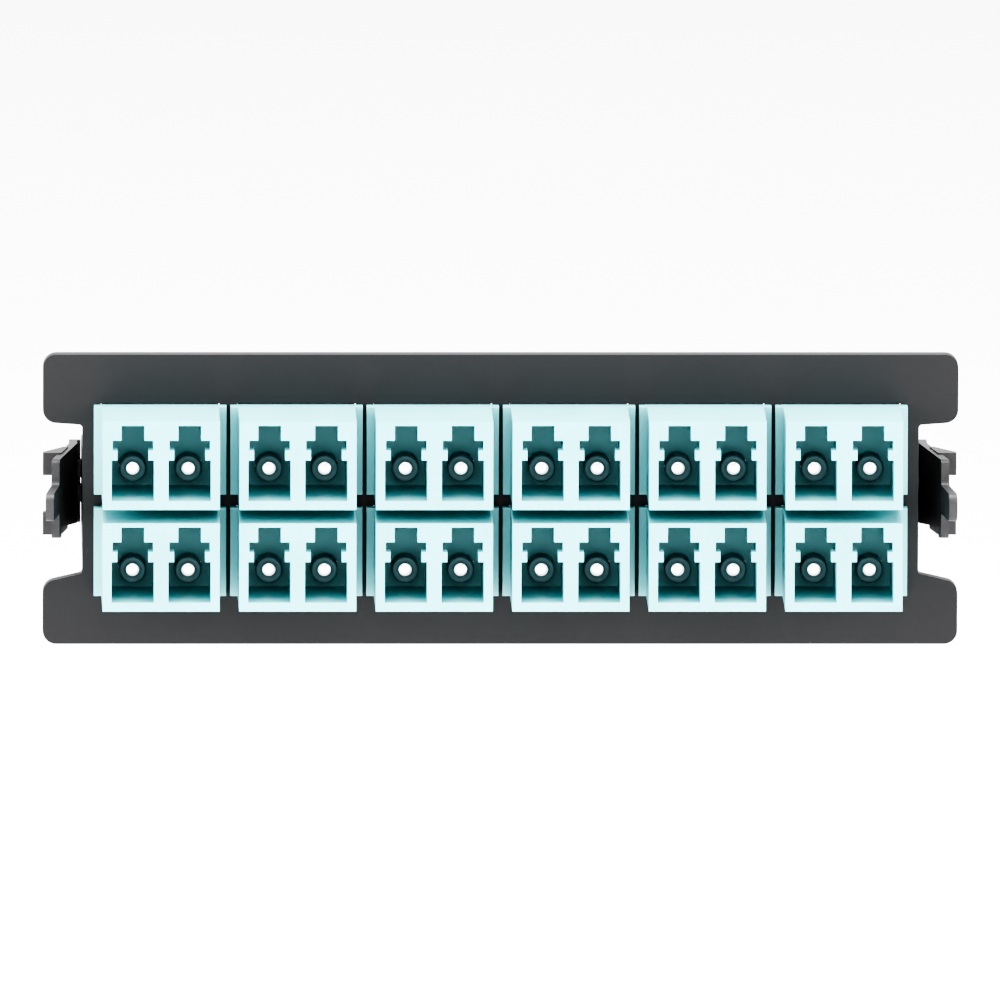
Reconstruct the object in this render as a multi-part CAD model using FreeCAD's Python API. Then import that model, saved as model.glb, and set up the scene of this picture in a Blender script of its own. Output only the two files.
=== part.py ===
import FreeCAD, Part
import math
import os

Vector = FreeCAD.Vector

# Fibre adapter plate: a moulded frame that carries twelve duplex fibre adapters in two rows,
# and snaps into a panel with a finger latch at each end.
# Millimetres. X runs along the plate, Y points to the rear and Z is up.
# The origin is the centre of the rear seating land, so the front of the plate faces -Y.

# Frame. Its length follows from the adapters and the notches.
PLATE_HEIGHT = 32.3
PLATE_THICKNESS = 2.0
LOBE_CORNER_RADIUS = 1.5

# Notch at each end, where the latch stands
NOTCH_DEPTH = 4.35
NOTCH_HEIGHT = 16.6
NOTCH_FLARE_TOP = 4.0
NOTCH_FLARE_BOTTOM = 13.0
NOTCH_CORNER_RADIUS = 0.4

# Adapter pattern
COLUMNS = 6
ROWS = 2
FLANGE_GAP = 0.43
ROW_GAP = 1.48

# Adapter field on the rear of the frame, a little below the seating land
FIELD_RECESS = 0.4
FIELD_MARGIN_X = 0.6
FIELD_MARGIN_Z = 1.2
CUTOUT_CLEARANCE = 0.12

# Adapter housing. Its halves are welded together at the front face of the frame.
SIDE_WALL = 1.0
TOP_WALL = 0.47
HALF_LENGTH = 13.0
FLANGE_STEP = 0.85
FLANGE_THICKNESS = 1.5

# Plug socket, from the floor up: cavity, catches at the mouth, lug slot and keyway
PORT_PITCH = 6.25
FLOOR_WALL = 1.0
CAVITY_WIDTH = 4.65
CAVITY_HEIGHT = 4.5
CATCH_STEP = 0.625
CATCH_HEIGHT = 1.13
CATCH_DEPTH = 2.2
LUG_SLOT_STEP = 0.1
LUG_SLOT_HEIGHT = 1.07
KEYWAY_WIDTH = 2.5
KEYWAY_HEIGHT = 1.65

# Wall across the middle of an adapter, and the tube through it that holds a sleeve
BORE_ABOVE_FLOOR = 2.3
MIDDLE_WALL = 2.0
HOLDER_RADIUS = 1.4
HOLDER_REACH = 4.2
HOLDER_LIP = 0.7
HOLDER_FLAT_COUNT = 10
ENTRY_RADIUS = 0.7
SEAT_CLEARANCE = 0.04

# Split alignment sleeve
SLEEVE_OUTER_RADIUS = 0.81
SLEEVE_INNER_RADIUS = 0.625
SLEEVE_LENGTH = 6.8
SLEEVE_SLOT = 0.3
SLEEVE_FLAT_COUNT = 8

# Retaining clip, a thin strip that wraps the sides and the underside behind the frame
CLIP_THICKNESS = 0.2
CLIP_WIDTH = 3.0
CLIP_LEG_HEIGHT = 8.3
CLIP_SINK = 0.02
GROOVE_PLAY = 0.1
BARB_LENGTH = 1.85
BARB_SPREAD = 0.7
BARB_WIDTH = 3.0
BARB_PLAY = 0.05

# Ear behind each notch, with the window that holds the foot of the latch
EAR_THICKNESS = 1.2
EAR_LENGTH = 14.5
EAR_BASE_HEIGHT = 14.0
EAR_END_HEIGHT = 9.4
EAR_CORNER_RADIUS = 1.0
PIVOT_TO_EAR_END = 2.1
EAR_TO_FLANGE = 0.075
WINDOW_LENGTH = 2.4
WINDOW_HEIGHT = 5.0

# Latch arm and finger tab
ARM_THICKNESS = 0.9
ARM_ROOT_GAP = 0.45
ARM_ROOT_REACH = 1.8
ARM_SPREAD = 2.05
ARM_TOP = 4.4
ARM_ROOT_BOTTOM = 4.85
ARM_WAIST_BOTTOM = 3.3
FRONT_BAR_BOTTOM = 4.4
FRONT_BAR_DEPTH = 1.5
ARM_FRONT_ROUND = 0.6
HEEL_LENGTH = 1.2
HEEL_PLAY = 0.06
HEEL_STRIP = 0.7
TAB_LENGTH = 6.6
TAB_HEIGHT = 3.1
TAB_FLARE = 0.7
TAB_ROUND = 1.0

# Latch hooks, which catch behind the panel
PANEL_THICKNESS = 2.0
PANEL_PLAY = 0.2
HOOK_PROJECTION = 1.6
HOOK_FLAT = 0.8
HOOK_RAMP_LENGTH = 4.0
HOOK_HEIGHT = 2.5
HOOK_OFFSET = 3.32

# Latch foot, two prongs that spring through the window
FOOT_PLAY = 0.2
FOOT_SLOT = 0.9
FOOT_BARB_RISE = 0.4
FOOT_BARB_LENGTH = 0.6
FOOT_BARB_GAP = 0.25
FOOT_LEAD = 0.25

# How near two places are that count as the same
SAME_PLACE = 0.01

# Sizes and places worked out from the sizes above
BODY_WIDTH = PORT_PITCH + CAVITY_WIDTH + 2 * SIDE_WALL
FLANGE_WIDTH = BODY_WIDTH + 2 * FLANGE_STEP
COLUMN_PITCH = FLANGE_WIDTH + FLANGE_GAP
SOCKET_HEIGHT = CAVITY_HEIGHT + CATCH_HEIGHT + LUG_SLOT_HEIGHT + KEYWAY_HEIGHT
BODY_HEIGHT = FLOOR_WALL + SOCKET_HEIGHT + TOP_WALL
ROW_PITCH = BODY_HEIGHT + ROW_GAP
PLATE_END = NOTCH_DEPTH + EAR_THICKNESS + EAR_TO_FLANGE
PLATE_LENGTH = COLUMNS * COLUMN_PITCH - FLANGE_GAP + 2 * PLATE_END
PIVOT_FROM_LAND = EAR_LENGTH - PIVOT_TO_EAR_END
CATCH_GAP = CAVITY_WIDTH - 2 * CATCH_STEP
LUG_SLOT_WIDTH = CAVITY_WIDTH - 2 * LUG_SLOT_STEP
FRAME_FRONT_Y = -PLATE_THICKNESS
FIELD_Y = -FIELD_RECESS
FIELD_THICKNESS = PLATE_THICKNESS - FIELD_RECESS
NOTCH_X = PLATE_LENGTH / 2 - NOTCH_DEPTH
CUTOUT_WIDTH = BODY_WIDTH + 2 * CUTOUT_CLEARANCE
CUTOUT_HEIGHT = BODY_HEIGHT + 2 * CUTOUT_CLEARANCE
BODY_BOTTOM = -BODY_HEIGHT / 2
CAVITY_FLOOR = BODY_BOTTOM + FLOOR_WALL
CATCH_BOTTOM = CAVITY_FLOOR + CAVITY_HEIGHT
LUG_SLOT_BOTTOM = CATCH_BOTTOM + CATCH_HEIGHT
LUG_SLOT_TOP = LUG_SLOT_BOTTOM + LUG_SLOT_HEIGHT
KEYWAY_TOP = LUG_SLOT_TOP + KEYWAY_HEIGHT
BORE_Z = CAVITY_FLOOR + BORE_ABOVE_FLOOR
SEAT_RADIUS = SLEEVE_OUTER_RADIUS + SEAT_CLEARANCE


def box(x, y, z):
    """A block between three (low, high) pairs."""
    return Part.makeBox(x[1] - x[0], y[1] - y[0], z[1] - z[0], Vector(x[0], y[0], z[0]))


def prism(points, direction):
    """Extrude the polygon through the points along a vector."""
    corners = [Vector(*point) for point in points]
    return Part.Face(Part.makePolygon(corners + corners[:1])).extrude(Vector(*direction))


def prism_y(outline, y):
    """Extrude an outline of (x, z) points between two Y values."""
    return prism([(x, y[0], z) for x, z in outline], (0, y[1] - y[0], 0))


def prism_z(outline, z):
    """Extrude an outline of (x, y) points between two Z values."""
    return prism([(x, y, z[0]) for x, y in outline], (0, 0, z[1] - z[0]))


def span(centre, size):
    """The low and high ends of a size about its centre."""
    return (centre - size / 2, centre + size / 2)


def across(shape, normal):
    """The mirror image of a shape in a plane through the origin."""
    return shape.mirror(Vector(0, 0, 0), Vector(*normal))


def edges_along(shape, axis, where):
    """Straight edges parallel to an axis whose middle passes the test."""
    found = []
    for edge in shape.Edges:
        ends = [vertex.Point for vertex in edge.Vertexes]
        if len(ends) == 2 and isinstance(edge.Curve, Part.Line):
            run = (ends[1] - ends[0]).normalize()
            if abs(run.dot(Vector(*axis))) > 0.999 and where((ends[0] + ends[1]) * 0.5):
                found.append(edge)
    return found


# Frame

def frame_outline():
    """Corners of the plate as (x, z): a rectangle with a flared notch in each end."""
    end = PLATE_LENGTH / 2
    top = PLATE_HEIGHT / 2
    notch = NOTCH_HEIGHT / 2
    notch_top = notch + NOTCH_DEPTH * math.tan(math.radians(NOTCH_FLARE_TOP))
    notch_bottom = -notch - NOTCH_DEPTH * math.tan(math.radians(NOTCH_FLARE_BOTTOM))
    right = [
        (end, top),
        (end, notch_top),
        (NOTCH_X, notch),
        (NOTCH_X, -notch),
        (end, notch_bottom),
        (end, -top),
    ]
    left = [(-x, z) for x, z in reversed(right)]
    return right + left


def frame_blank():
    """The plate with its rounded corners."""
    blank = prism_y(frame_outline(), (FRAME_FRONT_Y, 0))
    lobes = edges_along(blank, (0, 1, 0), lambda middle: abs(middle.x) > NOTCH_X + NOTCH_DEPTH / 2)
    blank = blank.makeFillet(LOBE_CORNER_RADIUS, lobes)
    roots = edges_along(
        blank,
        (0, 1, 0),
        lambda middle: (
            abs(abs(middle.x) - NOTCH_X) < SAME_PLACE and abs(middle.z) < PLATE_HEIGHT / 3
        ),
    )
    return blank.makeFillet(NOTCH_CORNER_RADIUS, roots)


def adapter_centres():
    """Name and (x, z) centre of each adapter, top row first."""
    centres = []
    for row in range(ROWS):
        z = ((ROWS - 1) / 2 - row) * ROW_PITCH
        for column in range(COLUMNS):
            x = (column - (COLUMNS - 1) / 2) * COLUMN_PITCH
            centres.append((f"row_{row + 1}_column_{column + 1}", x, z))
    return centres


def adapter_field():
    """The shallow recess on the rear where the clips bear."""
    length = (COLUMNS - 1) * COLUMN_PITCH + CUTOUT_WIDTH + 2 * FIELD_MARGIN_X
    height = (ROWS - 1) * ROW_PITCH + CUTOUT_HEIGHT + 2 * FIELD_MARGIN_Z
    return box(span(0, length), (FIELD_Y, 0), span(0, height))


def cutouts():
    """One rectangular hole for each adapter."""
    return [
        box(span(x, CUTOUT_WIDTH), (FRAME_FRONT_Y, 0), span(z, CUTOUT_HEIGHT))
        for _, x, z in adapter_centres()
    ]


def ear():
    """The wall behind the right-hand notch, with the window for the foot of the latch."""
    low = EAR_BASE_HEIGHT / 2
    high = EAR_END_HEIGHT / 2
    x = NOTCH_X - EAR_THICKNESS
    side = [(x, 0, -low), (x, EAR_LENGTH, -high), (x, EAR_LENGTH, high), (x, 0, low)]
    wall = prism(side, (EAR_THICKNESS, 0, 0))
    ends = edges_along(wall, (1, 0, 0), lambda middle: middle.y > EAR_LENGTH / 2)
    wall = wall.makeFillet(EAR_CORNER_RADIUS, ends)
    window = box(
        (x, NOTCH_X), span(PIVOT_FROM_LAND, WINDOW_LENGTH), span(0, WINDOW_HEIGHT)
    )
    return wall.cut(window)


def adapter_frame():
    """The whole moulded frame."""
    right_ear = ear()
    frame = frame_blank().cut([adapter_field()] + cutouts())
    return frame.fuse([right_ear, across(right_ear, (1, 0, 0))]).removeSplitter()


# Adapter, drawn with its middle at the origin and its front mouths towards -Y

def port_centres():
    """X of the two sockets of an adapter."""
    return (-PORT_PITCH / 2, PORT_PITCH / 2)


def about(x, right):
    """A whole outline about x, from the (offset, z) points of its right half."""
    left = [(-offset, z) for offset, z in reversed(right)]
    return [(x + offset, z) for offset, z in right + left]


def mouth_outline(x):
    """Outline of a plug socket at its mouth, where two catches stand in from its sides."""
    right = [
        (CAVITY_WIDTH / 2, CAVITY_FLOOR),
        (CAVITY_WIDTH / 2, CATCH_BOTTOM),
        (CATCH_GAP / 2, CATCH_BOTTOM),
        (CATCH_GAP / 2, LUG_SLOT_BOTTOM),
        (LUG_SLOT_WIDTH / 2, LUG_SLOT_BOTTOM),
        (LUG_SLOT_WIDTH / 2, LUG_SLOT_TOP),
        (KEYWAY_WIDTH / 2, LUG_SLOT_TOP),
        (KEYWAY_WIDTH / 2, KEYWAY_TOP),
    ]
    return about(x, right)


def inner_outline(x):
    """Outline of a plug socket behind its catches, where the lugs of a plug spring out."""
    right = [
        (CAVITY_WIDTH / 2, CAVITY_FLOOR),
        (CAVITY_WIDTH / 2, LUG_SLOT_TOP),
        (KEYWAY_WIDTH / 2, LUG_SLOT_TOP),
        (KEYWAY_WIDTH / 2, KEYWAY_TOP),
    ]
    return about(x, right)


def socket(x):
    """The space of one socket, from its front mouth to the middle wall."""
    catch_end = -HALF_LENGTH + CATCH_DEPTH
    mouth = prism_y(mouth_outline(x), (-HALF_LENGTH, catch_end))
    return mouth.fuse(prism_y(inner_outline(x), (catch_end, -MIDDLE_WALL / 2)))


def clip_start():
    """Y of the clip's front edge, a barb's length behind the field of the frame."""
    return FIELD_THICKNESS + BARB_PLAY + BARB_LENGTH


def clip_groove():
    """The shallow groove for the clip round the sides and the underside."""
    depth = CLIP_THICKNESS + CLIP_SINK
    y = (FIELD_THICKNESS - GROOVE_PLAY, clip_start() + CLIP_WIDTH + GROOVE_PLAY)
    z = (BODY_BOTTOM, BODY_BOTTOM + CLIP_LEG_HEIGHT + GROOVE_PLAY)
    outer = box(span(0, BODY_WIDTH), y, z)
    core = box(span(0, BODY_WIDTH - 2 * depth), y, (z[0] + depth, z[1]))
    return outer.cut(core)


def flat_sided(x, radius, flats, length):
    """A prism on the bore line whose flats touch a circle of the radius."""
    corner = radius / math.cos(math.pi / flats)
    turns = [2 * math.pi * (step + 0.5) / flats for step in range(flats)]
    outline = [
        (x + corner * math.cos(turn), BORE_Z + corner * math.sin(turn)) for turn in turns
    ]
    return prism_y(outline, span(0, length))


def housing():
    """The welded housing: two sockets at each end, the flange and the groove for the clip."""
    block = box(span(0, BODY_WIDTH), span(0, 2 * HALF_LENGTH), span(0, BODY_HEIGHT))
    flange = box(span(0, FLANGE_WIDTH), (-FLANGE_THICKNESS, 0), span(0, BODY_HEIGHT))
    front = [socket(x) for x in port_centres()]
    rear = [across(space, (0, 1, 0)) for space in front]
    seats = [flat_sided(x, HOLDER_RADIUS, HOLDER_FLAT_COUNT, MIDDLE_WALL) for x in port_centres()]
    return block.fuse(flange).cut(front + rear + seats + [clip_groove()]).removeSplitter()


def sleeve_holder(x):
    """The tube through the middle wall. It repeats at every socket, so it has flats."""
    tube = flat_sided(x, HOLDER_RADIUS, HOLDER_FLAT_COUNT, 2 * HOLDER_REACH)
    seat = flat_sided(x, SEAT_RADIUS, SLEEVE_FLAT_COUNT, 2 * (HOLDER_REACH - HOLDER_LIP))
    entry = flat_sided(x, ENTRY_RADIUS, HOLDER_FLAT_COUNT, 2 * HOLDER_REACH)
    return tube.cut([seat, entry]).removeSplitter()


def sleeve_holders():
    """Both sleeve holders of an adapter."""
    return Part.makeCompound([sleeve_holder(x) for x in port_centres()])


# Small parts of an adapter

def barb(z):
    """A tongue that leans out and forward from the clip's right leg to the frame."""
    inside = BODY_WIDTH / 2 - CLIP_SINK - CLIP_THICKNESS
    root = clip_start()
    tip = root - BARB_LENGTH
    outline = [
        (inside, root),
        (inside + CLIP_THICKNESS, root),
        (inside + CLIP_THICKNESS + BARB_SPREAD, tip),
        (inside + BARB_SPREAD, tip),
    ]
    return prism_z(outline, span(z, BARB_WIDTH))


def clip():
    """The spring clip: a U of strip with a wide barb on each leg."""
    half = BODY_WIDTH / 2 - CLIP_SINK
    bottom = BODY_BOTTOM + CLIP_SINK
    top = BODY_BOTTOM + CLIP_LEG_HEIGHT
    y = (clip_start(), clip_start() + CLIP_WIDTH)
    strip = box((-half, half), y, (bottom, top))
    inner = half - CLIP_THICKNESS
    strip = strip.cut(box((-inner, inner), y, (bottom + CLIP_THICKNESS, top)))
    right = barb((bottom + top) / 2)
    return strip.fuse([right, across(right, (1, 0, 0))]).removeSplitter()


def sleeve(x):
    """A split ceramic sleeve on the bore line, with its slot on top."""
    slot_turn = math.asin(SLEEVE_SLOT / 2 / SLEEVE_INNER_RADIUS)
    start = math.pi / 2 + slot_turn
    sweep = 2 * (math.pi - slot_turn)
    turns = [start + sweep * step / SLEEVE_FLAT_COUNT for step in range(SLEEVE_FLAT_COUNT + 1)]
    inner_corner = SLEEVE_INNER_RADIUS / math.cos(sweep / SLEEVE_FLAT_COUNT / 2)
    outer = [(SLEEVE_OUTER_RADIUS, turn) for turn in turns]
    inner = [(inner_corner, turn) for turn in reversed(turns)]
    outline = [
        (x + radius * math.cos(turn), BORE_Z + radius * math.sin(turn))
        for radius, turn in outer + inner
    ]
    return prism_y(outline, span(0, SLEEVE_LENGTH))


def sleeves():
    """Both sleeves of an adapter."""
    return Part.makeCompound([sleeve(x) for x in port_centres()])


# Latch, drawn at the right-hand end

def arm_root():
    """(x, y) where the arm leaves the ear, on its inner face."""
    return (NOTCH_X + ARM_ROOT_GAP, PIVOT_FROM_LAND - ARM_ROOT_REACH)


def arm_front():
    """(x, y) of the front of the arm, on its inner face, level with the front of the frame."""
    return (arm_root()[0] + ARM_SPREAD, FRAME_FRONT_Y)


def arm_outline():
    """The arm, its heel strip and the finger tab, seen from above."""
    root_x, root_y = arm_root()
    front_x, front_y = arm_front()
    rear_y = PIVOT_FROM_LAND + HEEL_LENGTH
    tip_x = front_x + TAB_FLARE
    tip_y = front_y - TAB_LENGTH
    return [
        (NOTCH_X + HEEL_PLAY, rear_y),
        (NOTCH_X + HEEL_PLAY, rear_y - HEEL_STRIP),
        (root_x, rear_y - HEEL_STRIP),
        (root_x, root_y),
        (front_x, front_y),
        (tip_x, tip_y),
        (tip_x + ARM_THICKNESS, tip_y),
        (front_x + ARM_THICKNESS, front_y),
        (root_x + ARM_THICKNESS, root_y),
        (root_x + ARM_THICKNESS, rear_y),
    ]


def arm_side():
    """The arm, its front bar and the finger tab from the plate's end, as a block to trim with."""
    x = NOTCH_X
    depth = NOTCH_DEPTH + HOOK_PROJECTION
    rear_y = PIVOT_FROM_LAND + HEEL_LENGTH
    tip_y = FRAME_FRONT_Y - TAB_LENGTH
    bar_y = FRAME_FRONT_Y + FRONT_BAR_DEPTH
    outline = [
        (rear_y, ARM_TOP),
        (FRAME_FRONT_Y, ARM_TOP),
        (FRAME_FRONT_Y, TAB_HEIGHT / 2),
        (tip_y, TAB_HEIGHT / 2),
        (tip_y, -TAB_HEIGHT / 2),
        (FRAME_FRONT_Y, -TAB_HEIGHT / 2),
        (FRAME_FRONT_Y, -FRONT_BAR_BOTTOM),
        (bar_y, -FRONT_BAR_BOTTOM),
        (bar_y, -ARM_WAIST_BOTTOM),
        (rear_y, -ARM_ROOT_BOTTOM),
    ]
    side = prism([(x, y, z) for y, z in outline], (depth, 0, 0))
    tips = edges_along(side, (1, 0, 0), lambda middle: middle.y < tip_y + SAME_PLACE)
    side = side.makeFillet(TAB_ROUND, tips)
    corners = edges_along(
        side,
        (1, 0, 0),
        lambda middle: abs(middle.y - FRAME_FRONT_Y) < SAME_PLACE,
    )
    return side.makeFillet(ARM_FRONT_ROUND, corners)


def arm_face(y):
    """X of the arm's outer face at y, on the stretch between its root and its front."""
    root_x, root_y = arm_root()
    front_x, front_y = arm_front()
    share = (root_y - y) / (root_y - front_y)
    return root_x + ARM_THICKNESS + share * (front_x - root_x)


def hook(side):
    """One hook on the outer face of the arm, above or below the finger tab."""
    catch_y = PANEL_THICKNESS + PANEL_PLAY
    ramp_start = catch_y + HOOK_FLAT
    ramp_end = ramp_start + HOOK_RAMP_LENGTH
    outer = arm_face(catch_y) + HOOK_PROJECTION
    buried = ARM_THICKNESS / 2
    outline = [
        (arm_face(catch_y) - buried, catch_y),
        (outer, catch_y),
        (outer, ramp_start),
        (arm_face(ramp_end), ramp_end),
        (arm_face(ramp_end) - buried, ramp_end),
    ]
    return prism_z(outline, span(side * HOOK_OFFSET, HOOK_HEIGHT))


def foot_prong(side):
    """One prong of the foot, with a barb that holds it behind the ear."""
    slot = FOOT_SLOT / 2
    prong = WINDOW_HEIGHT / 2 - FOOT_PLAY
    barb_top = WINDOW_HEIGHT / 2 + FOOT_BARB_RISE
    barb_outer = NOTCH_X - EAR_THICKNESS - FOOT_BARB_GAP
    tip = barb_outer - FOOT_BARB_LENGTH
    root_x = arm_root()[0] + ARM_THICKNESS / 2
    outline = [
        (root_x, slot),
        (root_x, prong),
        (barb_outer, prong),
        (barb_outer, barb_top),
        (tip + FOOT_LEAD, barb_top),
        (tip, prong),
        (tip, slot),
    ]
    y = span(PIVOT_FROM_LAND, WINDOW_LENGTH - 2 * FOOT_PLAY)
    return prism_y([(x, side * z) for x, z in outline], y)


def latch():
    """The right-hand latch: arm, finger tab, hooks and foot in one moulding."""
    arm = prism_z(arm_outline(), span(0, 2 * (ARM_TOP + ARM_ROOT_BOTTOM))).common(arm_side())
    extras = [hook(side) for side in (-1, 1)]
    extras += [foot_prong(side) for side in (-1, 1)]
    return arm.fuse(extras).removeSplitter()


def write(name, shape):
    """Save one piece."""
    shape.exportStep(f"parts/{name}.step")
    print(name, len(shape.Solids), round(shape.Volume, 2), shape.isValid())


def main():
    """Build every piece in its place and save it."""
    os.makedirs("parts", exist_ok=True)
    write("adapter_frame", adapter_frame())
    right_latch = latch()
    write("latch_right", right_latch)
    write("latch_left", across(right_latch, (1, 0, 0)))
    pieces = {
        "housing": housing(),
        "sleeve_holders": sleeve_holders(),
        "clip": clip(),
        "sleeves": sleeves(),
    }
    for place, x, z in adapter_centres():
        for name, piece in pieces.items():
            write(f"{name}_{place}", piece.translated(Vector(x, FRAME_FRONT_Y, z)))


main()
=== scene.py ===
"""Finishes, rounded edges and studio for the fibre adapter plate."""

import math

import bmesh
import bpy
from bpy.props import FloatProperty, FloatVectorProperty, IntProperty, PointerProperty
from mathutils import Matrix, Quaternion, Vector


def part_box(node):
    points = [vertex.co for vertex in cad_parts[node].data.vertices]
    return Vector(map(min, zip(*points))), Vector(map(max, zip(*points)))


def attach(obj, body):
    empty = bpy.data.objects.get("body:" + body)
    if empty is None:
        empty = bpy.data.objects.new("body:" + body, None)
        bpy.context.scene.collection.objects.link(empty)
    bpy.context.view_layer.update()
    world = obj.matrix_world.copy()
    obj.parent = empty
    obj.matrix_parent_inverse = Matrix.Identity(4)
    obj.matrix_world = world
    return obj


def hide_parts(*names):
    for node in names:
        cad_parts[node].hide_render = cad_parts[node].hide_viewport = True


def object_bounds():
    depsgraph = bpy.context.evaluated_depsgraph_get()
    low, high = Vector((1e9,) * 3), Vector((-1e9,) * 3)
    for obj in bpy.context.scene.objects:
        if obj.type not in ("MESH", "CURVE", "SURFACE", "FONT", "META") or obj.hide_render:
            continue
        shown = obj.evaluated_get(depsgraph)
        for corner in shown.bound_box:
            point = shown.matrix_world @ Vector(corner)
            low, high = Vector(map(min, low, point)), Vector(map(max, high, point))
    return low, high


bl_info = {
    "name": "Fibre Adapter Plate Dresser",
    "version": (1, 0, 0),
    "blender": (4, 5, 0),
    "location": "3D View > Sidebar > Adapter Plate",
    "description": "Gives the adapter plate its plastics, steel, ceramic and studio",
    "category": "Object",
}

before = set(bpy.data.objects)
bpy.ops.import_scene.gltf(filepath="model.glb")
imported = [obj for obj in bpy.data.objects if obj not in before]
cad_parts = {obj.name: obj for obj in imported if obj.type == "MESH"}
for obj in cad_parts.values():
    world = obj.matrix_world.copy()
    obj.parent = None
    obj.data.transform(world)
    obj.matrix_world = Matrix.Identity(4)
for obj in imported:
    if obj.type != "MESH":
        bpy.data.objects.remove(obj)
CAD_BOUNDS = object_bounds()

MM = 0.001
FRAME_BODY = "frame"

# How much light the two black plastics mirror
BLACK_SPECULAR = 0.25

# How a CAD node's facets are joined before its edges are rounded
SAME_PLACE = 0.001 * MM
SAME_PLANE = math.radians(0.5)
LARGE_FACE_WEIGHT = 90

# Sleeve holder: a wide seat for the sleeve, and a narrow entry behind a lip at each end
SEAT_RADIUS = 0.85 * MM
ENTRY_RADIUS = 0.70 * MM
LIP_LENGTH = 0.7 * MM
LEAD_IN = 0.16 * MM
END_ROUNDING = 0.18 * MM
ROUNDING_STEPS = 4

# Split ceramic sleeve
SLEEVE_WALL = 0.185 * MM
SLEEVE_CHAMFER = 0.06 * MM

# Studio, with distances in metres and the camera's sensor in millimetres
FLOOR_REACH = 12.0
WORLD_STRENGTH = 0.95
CAMERA_AIM = Vector((-0.05 * MM, -2.0 * MM, -0.07 * MM))
CAMERA_CLIP = (0.01, 20.0)
SENSOR_WIDTH = 36.0

# Name, place, side and watts of each square light
LIGHTS = (
    ("top_light", (0.0, 0.1, 1.0), 0.8, 5.0),
    ("overhead_light", (0.0, -0.16, 0.96), 0.7, 12.0),
    ("left_light", (-0.75, -0.6, 0.15), 0.6, 8.0),
    ("right_light", (0.75, -0.6, 0.15), 0.6, 8.0),
    ("camera_light", (0.0, -1.6, 0.5), 0.5, 1.5),
)


# Nodes of the plate, by kind

def nodes_named(prefix):
    """The CAD nodes whose names start with the prefix, in order of name."""
    return [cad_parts[name] for name in sorted(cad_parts) if name.startswith(prefix)]


# Shader maths

def shade(colour, factor):
    """A colour times a factor, opaque."""
    return tuple(min(1.0, channel * factor) for channel in colour[:3]) + (1.0,)


class Wire:
    """One output socket. Arithmetic on it adds Math nodes to its material."""

    def __init__(self, finish, socket):
        self.finish = finish
        self.socket = socket

    def maths(self, operation, *values):
        """A Math node on the values."""
        return self.finish.wire("ShaderNodeMath", {"operation": operation}, dict(enumerate(values)))

    def __add__(self, other):
        return self.maths("ADD", self, other)

    __radd__ = __add__

    def __mul__(self, other):
        return self.maths("MULTIPLY", self, other)

    __rmul__ = __mul__

    def __sub__(self, other):
        return self.maths("SUBTRACT", self, other)

    def __rsub__(self, other):
        return self.maths("SUBTRACT", other, self)

    def ramp(self, low, high):
        """0 below low, 1 above high and smooth between them."""
        return self.finish.wire(
            "ShaderNodeMapRange",
            {"interpolation_type": "SMOOTHSTEP", "clamp": True},
            {"Value": self, "From Min": low, "From Max": high},
        )


class Finish:
    """A procedural material on one Principled shader."""

    def __init__(self, name, constants):
        self.material = bpy.data.materials.new(name)
        self.material.use_nodes = True
        self.tree = self.material.node_tree
        self.tree.nodes.clear()
        self.shader = self.node("ShaderNodeBsdfPrincipled", {}, constants)
        self.node("ShaderNodeOutputMaterial", {}, {"Surface": Wire(self, self.shader.outputs["BSDF"])})
        self.place = self.wire("ShaderNodeTexCoord", {}, {}, "Object")

    def node(self, kind, settings, inputs):
        """Any node: its settings first, then the value or wire of each input."""
        made = self.tree.nodes.new(kind)
        for name, value in settings.items():
            setattr(made, name, value)
        for key, value in inputs.items():
            if isinstance(value, Wire):
                self.tree.links.new(value.socket, made.inputs[key])
            else:
                made.inputs[key].default_value = value
        return made

    def wire(self, kind, settings, inputs, output=0):
        """One output of a new node."""
        return Wire(self, self.node(kind, settings, inputs).outputs[output])

    def noise(self, size, detail=2.0, stretch=(1.0, 1.0, 1.0)):
        """Cloudy noise with features of the size, in metres, 0 to 1."""
        place = self.wire(
            "ShaderNodeVectorMath",
            {"operation": "MULTIPLY"},
            {0: self.place, 1: tuple(1.0 / axis for axis in stretch)},
        )
        return self.wire(
            "ShaderNodeTexNoise",
            {},
            {"Vector": place, "Scale": 1.0 / size, "Detail": detail},
            "Fac",
        )

    def mix(self, share, first, second):
        """A colour between two, by the share of the second."""
        return self.wire("ShaderNodeMix", {"data_type": "RGBA"}, {0: share, 6: first, 7: second}, 2)

    def tint(self, share, colour, darkest, lightest):
        """A colour between two of its own shades, by the share of the lighter one."""
        return self.mix(share, shade(colour, darkest), shade(colour, lightest))

    def drive(self, socket, wire):
        """Feed one of the shader's sockets."""
        self.tree.links.new(wire.socket, self.shader.inputs[socket])

    def bump(self, height, distance, strength):
        """Raise the surface by the height, times the distance in metres."""
        raised = self.wire(
            "ShaderNodeBump",
            {},
            {"Height": height, "Distance": distance, "Strength": strength},
            "Normal",
        )
        self.drive("Normal", raised)


# Materials

def frame_plastic(settings):
    """Black moulded plastic with a fine spark-eroded grain."""
    finish = Finish("FramePlastic", {"Specular IOR Level": BLACK_SPECULAR})
    grain = finish.noise(settings.grain_size, detail=3.0)
    cloud = finish.noise(size=18 * MM)
    base = finish.tint(cloud.ramp(low=0.3, high=0.7), settings.colour, darkest=0.92, lightest=1.08)
    peaks = shade(settings.colour, factor=1.12)
    finish.drive("Base Color", finish.mix(grain.ramp(low=0.45, high=0.75), base, peaks))
    finish.drive("Roughness", settings.roughness + 0.12 * grain - 0.05 * cloud)
    finish.bump(grain, settings.grain_depth, strength=0.4)
    return finish.material


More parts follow.
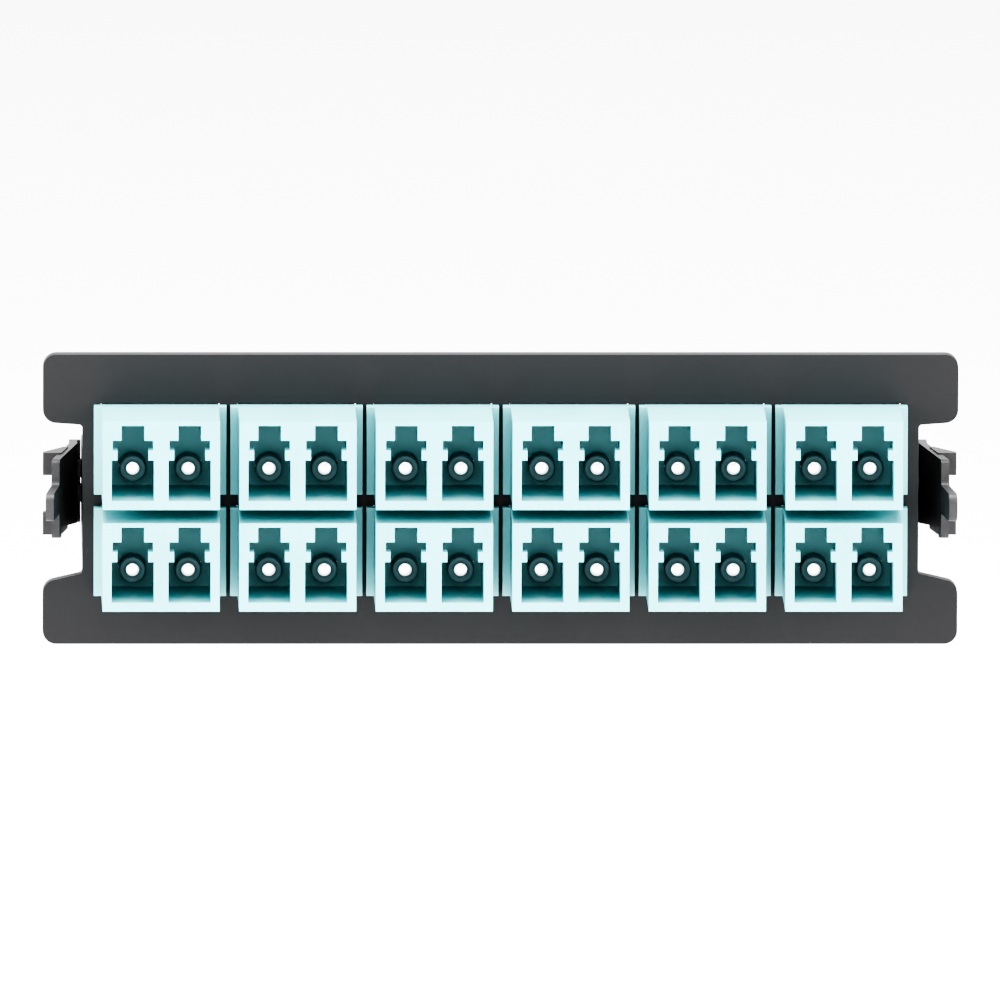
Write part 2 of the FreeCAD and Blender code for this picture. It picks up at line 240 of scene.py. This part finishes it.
def latch_plastic(settings):
    """Black acetal, smoother than the frame, with faint flow lines along the arm."""
    finish = Finish("LatchPlastic", {"Specular IOR Level": BLACK_SPECULAR})
    grain = finish.noise(settings.grain_size)
    flow = finish.noise(size=0.5 * MM, stretch=(1.0, 9.0, 1.0))
    tint = finish.tint(flow.ramp(low=0.35, high=0.7), settings.colour, darkest=0.96, lightest=1.08)
    finish.drive("Base Color", tint)
    finish.drive("Roughness", settings.roughness + 0.04 * flow)
    finish.bump(grain + flow * 0.2, settings.grain_depth, strength=0.4)
    return finish.material


def adapter_plastic(settings, name, colour):
    """Satin aqua plastic with a faint unevenness of colour and polish."""
    finish = Finish(name, {"Specular IOR Level": 0.45})
    cloud = finish.noise(size=6 * MM)
    grain = finish.noise(settings.grain_size)
    tint = finish.tint(cloud.ramp(low=0.3, high=0.7), colour, darkest=0.96, lightest=1.04)
    finish.drive("Base Color", tint)
    finish.drive("Roughness", settings.roughness + 0.14 * grain)
    finish.bump(grain, settings.grain_depth, strength=0.35)
    return finish.material


def sleeve_ceramic_painted_glow(settings):
    """Polished white ceramic with a painted glow: its emission makes the sleeve look lit from inside."""
    finish = Finish("SleeveCeramicPaintedGlow", {"Specular IOR Level": 0.6, "Emission Strength": settings.painted_glow})
    cloud = finish.noise(size=0.8 * MM)
    tint = finish.tint(cloud.ramp(low=0.35, high=0.7), settings.colour, darkest=0.97, lightest=1.0)
    finish.drive("Base Color", tint)
    # Painted glow: the ceramic's tint is also emitted, so the sleeve shines though it is no lamp.
    finish.drive("Emission Color", tint)
    finish.drive("Roughness", 0.16 + 0.08 * cloud)
    return finish.material


def clip_steel(settings):
    """Rolled stainless strip with fine lines along its length."""
    finish = Finish("ClipSteel", {"Metallic": 1.0})
    lines = finish.noise(size=0.12 * MM, detail=3.0, stretch=(1.0, 14.0, 1.0))
    patches = finish.noise(size=3 * MM)
    tint = finish.tint(patches.ramp(low=0.3, high=0.7), settings.colour, darkest=0.9, lightest=1.06)
    finish.drive("Base Color", tint)
    finish.drive("Roughness", settings.roughness + 0.16 * lines)
    finish.bump(lines, distance=0.004 * MM, strength=0.5)
    return finish.material


def floor_paper():
    """Pale studio paper."""
    finish = Finish("FloorPaper", {"Specular IOR Level": 0.1, "Roughness": 0.9})
    cloud = finish.noise(size=90 * MM)
    white = (1.0, 1.0, 1.0)
    finish.drive("Base Color", finish.tint(cloud, white, darkest=0.81, lightest=0.83))
    return finish.material


# Meshes

def wear(piece, material):
    """Give a piece one material all over."""
    piece.data.materials.clear()
    piece.data.materials.append(material)


def round_edges(piece, radius, segments, sharper_than):
    """Join a node's facets, round the edges sharper than an angle in degrees, and shade it smooth."""
    piece.data.shade_smooth()
    weld = piece.modifiers.new("Join", "WELD")
    weld.merge_threshold = SAME_PLACE
    flatten = piece.modifiers.new("WholeFaces", "DECIMATE")
    flatten.decimate_type = "DISSOLVE"
    flatten.angle_limit = SAME_PLANE
    bevel = piece.modifiers.new("RoundEdges", "BEVEL")
    bevel.width = radius
    bevel.segments = segments
    bevel.limit_method = "ANGLE"
    bevel.angle_limit = math.radians(sharper_than)
    smooth = piece.modifiers.new("SmoothShade", "WEIGHTED_NORMAL")
    smooth.weight = LARGE_FACE_WEIGHT


def new_piece(name, mesh_builder, material):
    """A piece from bmesh code that rides on the frame."""
    mesh = bpy.data.meshes.new(name)
    builder = bmesh.new()
    mesh_builder(builder)
    bmesh.ops.recalc_face_normals(builder, faces=builder.faces)
    builder.to_mesh(mesh)
    builder.free()
    piece = bpy.data.objects.new(name, mesh)
    bpy.context.scene.collection.objects.link(piece)
    wear(piece, material)
    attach(piece, FRAME_BODY)
    return piece


def ring_of(builder, centre, radius, y, turns):
    """Vertices round a line along Y."""
    return [
        builder.verts.new((centre[0] + radius * math.cos(turn), y, centre[1] + radius * math.sin(turn)))
        for turn in turns
    ]


def skin(builder, rings, closed):
    """Faces between neighbouring rings, all the way round or left open at the last vertex."""
    for first, second in zip(rings, rings[1:]):
        count = len(first)
        for step in range(count if closed else count - 1):
            follow = (step + 1) % count
            face = builder.faces.new((first[step], first[follow], second[follow], second[step]))
            face.smooth = True


# Settings

class FramePlasticSettings(bpy.types.PropertyGroup):
    """Black plastic of the frame."""

    colour: FloatVectorProperty(
        name="Colour", description="Colour of the moulded frame", subtype="COLOR", size=3,
        default=(0.0078, 0.0074, 0.0081), min=0.0, max=1.0,
    )
    roughness: FloatProperty(
        name="Roughness", description="Roughness of the grained face", subtype="FACTOR",
        default=0.46, min=0.0, max=1.0,
    )
    grain_size: FloatProperty(
        name="Grain size", description="Size of the spark-eroded grain", unit="LENGTH",
        default=0.22 * MM, min=0.01 * MM, max=5 * MM,
    )
    grain_depth: FloatProperty(
        name="Grain depth", description="Depth of the grain", unit="LENGTH",
        default=0.02 * MM, min=0.0, max=1 * MM,
    )
    edge_radius: FloatProperty(
        name="Edge radius", description="Rounding of the frame's edges", unit="LENGTH",
        default=0.22 * MM, min=0.0, max=1 * MM,
    )


class LatchPlasticSettings(bpy.types.PropertyGroup):
    """Black acetal of the latches."""

    colour: FloatVectorProperty(
        name="Colour", description="Colour of the latches", subtype="COLOR", size=3,
        default=(0.026, 0.0245, 0.0252), min=0.0, max=1.0,
    )
    roughness: FloatProperty(
        name="Roughness", description="Roughness of the latches", subtype="FACTOR",
        default=0.44, min=0.0, max=1.0,
    )
    grain_size: FloatProperty(
        name="Grain size", description="Size of the fine grain", unit="LENGTH",
        default=0.16 * MM, min=0.01 * MM, max=5 * MM,
    )
    grain_depth: FloatProperty(
        name="Grain depth", description="Depth of the grain", unit="LENGTH",
        default=0.01 * MM, min=0.0, max=1 * MM,
    )
    edge_radius: FloatProperty(
        name="Edge radius", description="Rounding of the latch's edges", unit="LENGTH",
        default=0.14 * MM, min=0.0, max=1 * MM,
    )


class AdapterPlasticSettings(bpy.types.PropertyGroup):
    """Aqua plastic of the adapter housings."""

    colour: FloatVectorProperty(
        name="Colour", description="Colour of the adapter housings", subtype="COLOR", size=3,
        default=(0.125, 0.385, 0.405), min=0.0, max=1.0,
    )
    # Painted shade: the holders are the same aqua plastic as the housings, given a darker colour for the
    # shade deep in the sockets.
    holder_painted_shade_colour: FloatVectorProperty(
        name="Holder colour", description="Colour of the sleeve holders", subtype="COLOR", size=3,
        default=(0.06, 0.13, 0.14), min=0.0, max=1.0,
    )
    roughness: FloatProperty(
        name="Roughness", description="Roughness of the housings", subtype="FACTOR",
        default=0.38, min=0.0, max=1.0,
    )
    grain_size: FloatProperty(
        name="Grain size", description="Size of the faint grain", unit="LENGTH",
        default=0.3 * MM, min=0.01 * MM, max=5 * MM,
    )
    grain_depth: FloatProperty(
        name="Grain depth", description="Depth of the faint grain", unit="LENGTH",
        default=0.008 * MM, min=0.0, max=1 * MM,
    )
    edge_radius: FloatProperty(
        name="Edge radius", description="Rounding of the housing's edges", unit="LENGTH",
        default=0.15 * MM, min=0.0, max=1 * MM,
    )
    facets: IntProperty(
        name="Facets", description="Facets round each sleeve holder", default=48, min=12, max=128,
    )


class SleeveSettings(bpy.types.PropertyGroup):
    """White ceramic sleeves."""

    colour: FloatVectorProperty(
        name="Colour", description="Colour of the ceramic", subtype="COLOR", size=3,
        default=(0.95, 0.95, 0.93), min=0.0, max=1.0,
    )
    # Painted glow: strength of the emission that makes the white ceramic shine from inside.
    painted_glow: FloatProperty(
        name="Glow", description="Light that the ceramic carries along its wall",
        default=0.55, min=0.0, max=5.0,
    )
    facets: IntProperty(
        name="Facets", description="Facets round each sleeve", default=48, min=12, max=128,
    )
    slot_width: FloatProperty(
        name="Slot width", description="Width of the slot along the sleeve", unit="LENGTH",
        default=0.3 * MM, min=0.0, max=1 * MM,
    )


class ClipSteelSettings(bpy.types.PropertyGroup):
    """Stainless strip of the clips."""

    colour: FloatVectorProperty(
        name="Colour", description="Colour of the strip", subtype="COLOR", size=3,
        default=(0.60, 0.60, 0.61), min=0.0, max=1.0,
    )
    roughness: FloatProperty(
        name="Roughness", description="Roughness of the strip", subtype="FACTOR",
        default=0.24, min=0.0, max=1.0,
    )
    edge_radius: FloatProperty(
        name="Edge radius", description="Rounding of the strip's edges", unit="LENGTH",
        default=0.05 * MM, min=0.0, max=1 * MM,
    )


class StageSettings(bpy.types.PropertyGroup):
    """Floor, lights and camera."""

    floor_drop: FloatProperty(
        name="Floor drop", description="Height of the plate's lower edge above the floor", unit="LENGTH",
        default=70 * MM, min=0.0, max=1.0,
    )
    camera_elevation: FloatProperty(
        name="Camera elevation", description="Angle of the camera above the plate's axis", subtype="ANGLE",
        default=math.radians(8.5), min=-1.5, max=1.5,
    )
    camera_azimuth: FloatProperty(
        name="Camera azimuth", description="Angle of the camera round the plate", subtype="ANGLE",
        default=math.radians(-1.2), min=-3.2, max=3.2,
    )
    camera_roll: FloatProperty(
        name="Camera roll", description="Turn of the camera about its own line of sight", subtype="ANGLE",
        default=math.radians(0.18), min=-3.2, max=3.2,
    )
    camera_distance: FloatProperty(
        name="Camera distance", description="Distance from the camera to the plate", unit="LENGTH",
        default=4.0, min=0.1, max=20.0,
    )
    picture_width: FloatProperty(
        name="Picture width", description="Width that the picture covers at the plate", unit="LENGTH",
        default=110.35 * MM, min=10 * MM, max=2.0,
    )
    exposure: FloatProperty(
        name="Exposure", description="Exposure of the picture, in stops",
        default=1.0, min=-5.0, max=5.0,
    )
    light_power: FloatProperty(
        name="Light power", description="Scale of all the studio lights",
        default=1.0, min=0.0, max=20.0,
    )


SETTINGS = {
    "plate_frame_plastic": FramePlasticSettings,
    "plate_latch_plastic": LatchPlasticSettings,
    "plate_adapter_plastic": AdapterPlasticSettings,
    "plate_sleeves": SleeveSettings,
    "plate_clip_steel": ClipSteelSettings,
    "plate_stage": StageSettings,
}


# Operators

class PLATE_OT_dress_frame(bpy.types.Operator):
    """Round the frame's edges and give it its grained black plastic"""

    bl_idname = "plate.dress_frame"
    bl_label = "Dress Frame"

    def execute(self, context):
        settings = context.scene.plate_frame_plastic
        material = frame_plastic(settings)
        for piece in nodes_named("adapter_frame"):
            wear(piece, material)
            round_edges(piece, settings.edge_radius, segments=3, sharper_than=40)
        return {"FINISHED"}


class PLATE_OT_dress_latches(bpy.types.Operator):
    """Round the edges of both latches and give them their black acetal"""

    bl_idname = "plate.dress_latches"
    bl_label = "Dress Latches"

    def execute(self, context):
        settings = context.scene.plate_latch_plastic
        material = latch_plastic(settings)
        for piece in nodes_named("latch_"):
            wear(piece, material)
            round_edges(piece, settings.edge_radius, segments=3, sharper_than=30)
        return {"FINISHED"}


class PLATE_OT_dress_housings(bpy.types.Operator):
    """Round the edges of the adapter housings and give them their aqua plastic"""

    bl_idname = "plate.dress_housings"
    bl_label = "Dress Housings"

    def execute(self, context):
        settings = context.scene.plate_adapter_plastic
        material = adapter_plastic(settings, "AdapterPlastic", settings.colour)
        for piece in nodes_named("housing"):
            wear(piece, material)
            round_edges(piece, settings.edge_radius, segments=2, sharper_than=50)
        return {"FINISHED"}


class PLATE_OT_build_holders(bpy.types.Operator):
    """Build the tubes that hold the sleeves, with round walls in place of flats, in a darker copy of the
    aqua plastic that paints the shade inside the sockets
    """

    bl_idname = "plate.build_holders"
    bl_label = "Build Holders"

    def execute(self, context):
        settings = context.scene.plate_adapter_plastic
        # Painted shade: a darker copy of the aqua plastic stands for the shade inside the sockets.
        material = adapter_plastic(settings, "HolderPlasticPaintedShade", settings.holder_painted_shade_colour)
        for node in nodes_named("sleeve_holders"):
            piece = new_piece(
                node.name.replace("sleeve_holders", "round_holders"),
                lambda builder, name=node.name: build_holder_pair(builder, name, settings),
                material,
            )
            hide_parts(node.name)
        return {"FINISHED"}


def build_holder_pair(builder, node_name, settings):
    """Two tubes on the lines of their CAD node, with a wide seat inside and small entries."""
    low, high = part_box(node_name)
    outer = (high.z - low.z) / 2
    axis_z = (high.z + low.z) / 2
    middle = (low.y + high.y) / 2
    end = high.y - middle
    rear = [
        (SEAT_RADIUS, end - LIP_LENGTH),
        (ENTRY_RADIUS, end - LIP_LENGTH),
        (ENTRY_RADIUS, end - LEAD_IN),
        (ENTRY_RADIUS + LEAD_IN, end),
    ]
    for step in range(ROUNDING_STEPS + 1):
        turn = math.pi / 2 * step / ROUNDING_STEPS
        radius = outer - END_ROUNDING * (1 - math.sin(turn))
        rear.append((radius, end - END_ROUNDING * (1 - math.cos(turn))))
    front = [(radius, -reach) for radius, reach in reversed(rear)]
    profile = front + [(SEAT_RADIUS, 0.0)] + rear + [(outer, 0.0)]
    turns = [2 * math.pi * step / settings.facets for step in range(settings.facets)]
    for axis_x in (low.x + outer, high.x - outer):
        centre = (axis_x, axis_z)
        rings = [ring_of(builder, centre, radius, middle + reach, turns) for radius, reach in profile]
        skin(builder, rings + rings[:1], closed=True)


class PLATE_OT_build_sleeves(bpy.types.Operator):
    """Build the split ceramic sleeves, with round walls in place of flats"""

    bl_idname = "plate.build_sleeves"
    bl_label = "Build Sleeves"

    def execute(self, context):
        settings = context.scene.plate_sleeves
        material = sleeve_ceramic_painted_glow(settings)
        for node in nodes_named("sleeves"):
            piece = new_piece(
                node.name.replace("sleeves", "round_sleeves"),
                lambda builder, name=node.name: build_sleeve_pair(builder, name, settings),
                material,
            )
            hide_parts(node.name)
        return {"FINISHED"}


def build_sleeve_pair(builder, node_name, settings):
    """Two split tubes in the box of their CAD node, with small chamfers at their ends."""
    low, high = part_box(node_name)
    outer = (high.z - low.z) / 2
    inner = outer - SLEEVE_WALL
    axis_z = (high.z + low.z) / 2
    half_slot = math.asin(settings.slot_width / 2 / inner)
    start = math.pi / 2 + half_slot
    sweep = 2 * (math.pi - half_slot)
    turns = [start + sweep * step / settings.facets for step in range(settings.facets + 1)]
    profile = [
        (inner, low.y),
        (outer - SLEEVE_CHAMFER, low.y),
        (outer, low.y + SLEEVE_CHAMFER),
        (outer, high.y - SLEEVE_CHAMFER),
        (outer - SLEEVE_CHAMFER, high.y),
        (inner, high.y),
    ]
    for axis_x in (low.x + outer, high.x - outer):
        centre = (axis_x, axis_z)
        rings = [ring_of(builder, centre, radius, y, turns) for radius, y in profile]
        skin(builder, rings + rings[:1], closed=False)
        for end in (0, -1):
            builder.faces.new([ring[end] for ring in rings])


class PLATE_OT_dress_clips(bpy.types.Operator):
    """Give the spring clips their rolled stainless steel"""

    bl_idname = "plate.dress_clips"
    bl_label = "Dress Clips"

    def execute(self, context):
        settings = context.scene.plate_clip_steel
        material = clip_steel(settings)
        for piece in nodes_named("clip"):
            wear(piece, material)
            round_edges(piece, settings.edge_radius, segments=2, sharper_than=40)
        return {"FINISHED"}


class PLATE_OT_set_stage(bpy.types.Operator):
    """Set out the pale floor, the soft lights and the camera"""

    bl_idname = "plate.set_stage"
    bl_label = "Set Stage"

    def execute(self, context):
        settings = context.scene.plate_stage
        build_floor(settings)
        build_world(context.scene, settings)
        build_lights(context.scene, settings)
        build_camera(context.scene, settings)
        view = context.scene.view_settings
        view.view_transform = "AgX"
        view.look = "AgX - Very High Contrast"
        view.exposure = settings.exposure
        return {"FINISHED"}


def build_floor(settings):
    """One flat sheet of paper under the plate."""
    floor_z = CAD_BOUNDS[0][2] - settings.floor_drop
    mesh = bpy.data.meshes.new("studio_floor")
    builder = bmesh.new()
    corners = ((-1, -1), (1, -1), (1, 1), (-1, 1))
    builder.faces.new([builder.verts.new((x * FLOOR_REACH, y * FLOOR_REACH, floor_z)) for x, y in corners])
    builder.to_mesh(mesh)
    builder.free()
    floor = bpy.data.objects.new("studio_floor", mesh)
    bpy.context.scene.collection.objects.link(floor)
    wear(floor, floor_paper())


def build_world(scene, settings):
    """Even white light from all round."""
    world = bpy.data.worlds.new("studio_world")
    world.use_nodes = True
    background = world.node_tree.nodes["Background"]
    background.inputs["Color"].default_value = (1.0, 1.0, 1.0, 1.0)
    background.inputs["Strength"].default_value = WORLD_STRENGTH * settings.light_power
    scene.world = world


def build_lights(scene, settings):
    """Square soft lights that face the plate: two above, one on each side and a weak one in front."""
    for name, place, side, watts in LIGHTS:
        data = bpy.data.lights.new(name, "AREA")
        data.size = side
        data.energy = watts * settings.light_power
        light = bpy.data.objects.new(name, data)
        light.location = place
        light.rotation_euler = (-Vector(place)).to_track_quat("-Z", "Y").to_euler()
        scene.collection.objects.link(light)


def build_camera(scene, settings):
    """The photograph's viewpoint: in front, a little above, through a long lens."""
    data = bpy.data.cameras.new("photo_camera")
    data.sensor_width = SENSOR_WIDTH
    data.lens = SENSOR_WIDTH * settings.camera_distance / settings.picture_width
    data.clip_start, data.clip_end = CAMERA_CLIP
    camera = bpy.data.objects.new("photo_camera", data)
    level = math.cos(settings.camera_elevation) * settings.camera_distance
    offset = Vector((
        math.sin(settings.camera_azimuth) * level,
        -math.cos(settings.camera_azimuth) * level,
        math.sin(settings.camera_elevation) * settings.camera_distance,
    ))
    camera.location = CAMERA_AIM + offset
    level_plate = Quaternion((0.0, 0.0, 1.0), settings.camera_roll)
    camera.rotation_euler = ((-offset).to_track_quat("-Z", "Y") @ level_plate).to_euler()
    scene.collection.objects.link(camera)
    scene.camera = camera


OPERATORS = (
    PLATE_OT_dress_frame,
    PLATE_OT_dress_latches,
    PLATE_OT_dress_housings,
    PLATE_OT_build_holders,
    PLATE_OT_build_sleeves,
    PLATE_OT_dress_clips,
    PLATE_OT_set_stage,
)


class PLATE_PT_sidebar(bpy.types.Panel):
    """Lists the steps that dress the plate"""

    bl_idname = "PLATE_PT_sidebar"
    bl_label = "Adapter Plate"
    bl_space_type = "VIEW_3D"
    bl_region_type = "UI"
    bl_category = "Adapter Plate"

    def draw(self, context):
        for operator in OPERATORS:
            self.layout.operator(operator.bl_idname)
        for name in SETTINGS:
            group = getattr(context.scene, name)
            box = self.layout.box()
            for prop in group.bl_rna.properties:
                if prop.identifier not in ("rna_type", "name"):
                    box.prop(group, prop.identifier)


def register():
    """Register the settings, the operators and the panel."""
    for name, group in SETTINGS.items():
        bpy.utils.register_class(group)
        setattr(bpy.types.Scene, name, PointerProperty(type=group))
    for made in OPERATORS + (PLATE_PT_sidebar,):
        bpy.utils.register_class(made)


def unregister():
    """Take everything out again."""
    for made in reversed(OPERATORS + (PLATE_PT_sidebar,)):
        bpy.utils.unregister_class(made)
    for name, group in reversed(SETTINGS.items()):
        delattr(bpy.types.Scene, name)
        bpy.utils.unregister_class(group)


def main():
    """Dress the plate step by step."""
    register()
    bpy.ops.plate.dress_frame()
    bpy.ops.plate.dress_latches()
    bpy.ops.plate.dress_housings()
    bpy.ops.plate.build_holders()
    bpy.ops.plate.build_sleeves()
    bpy.ops.plate.dress_clips()
    bpy.ops.plate.set_stage()


if __name__ == "__main__":
    main()
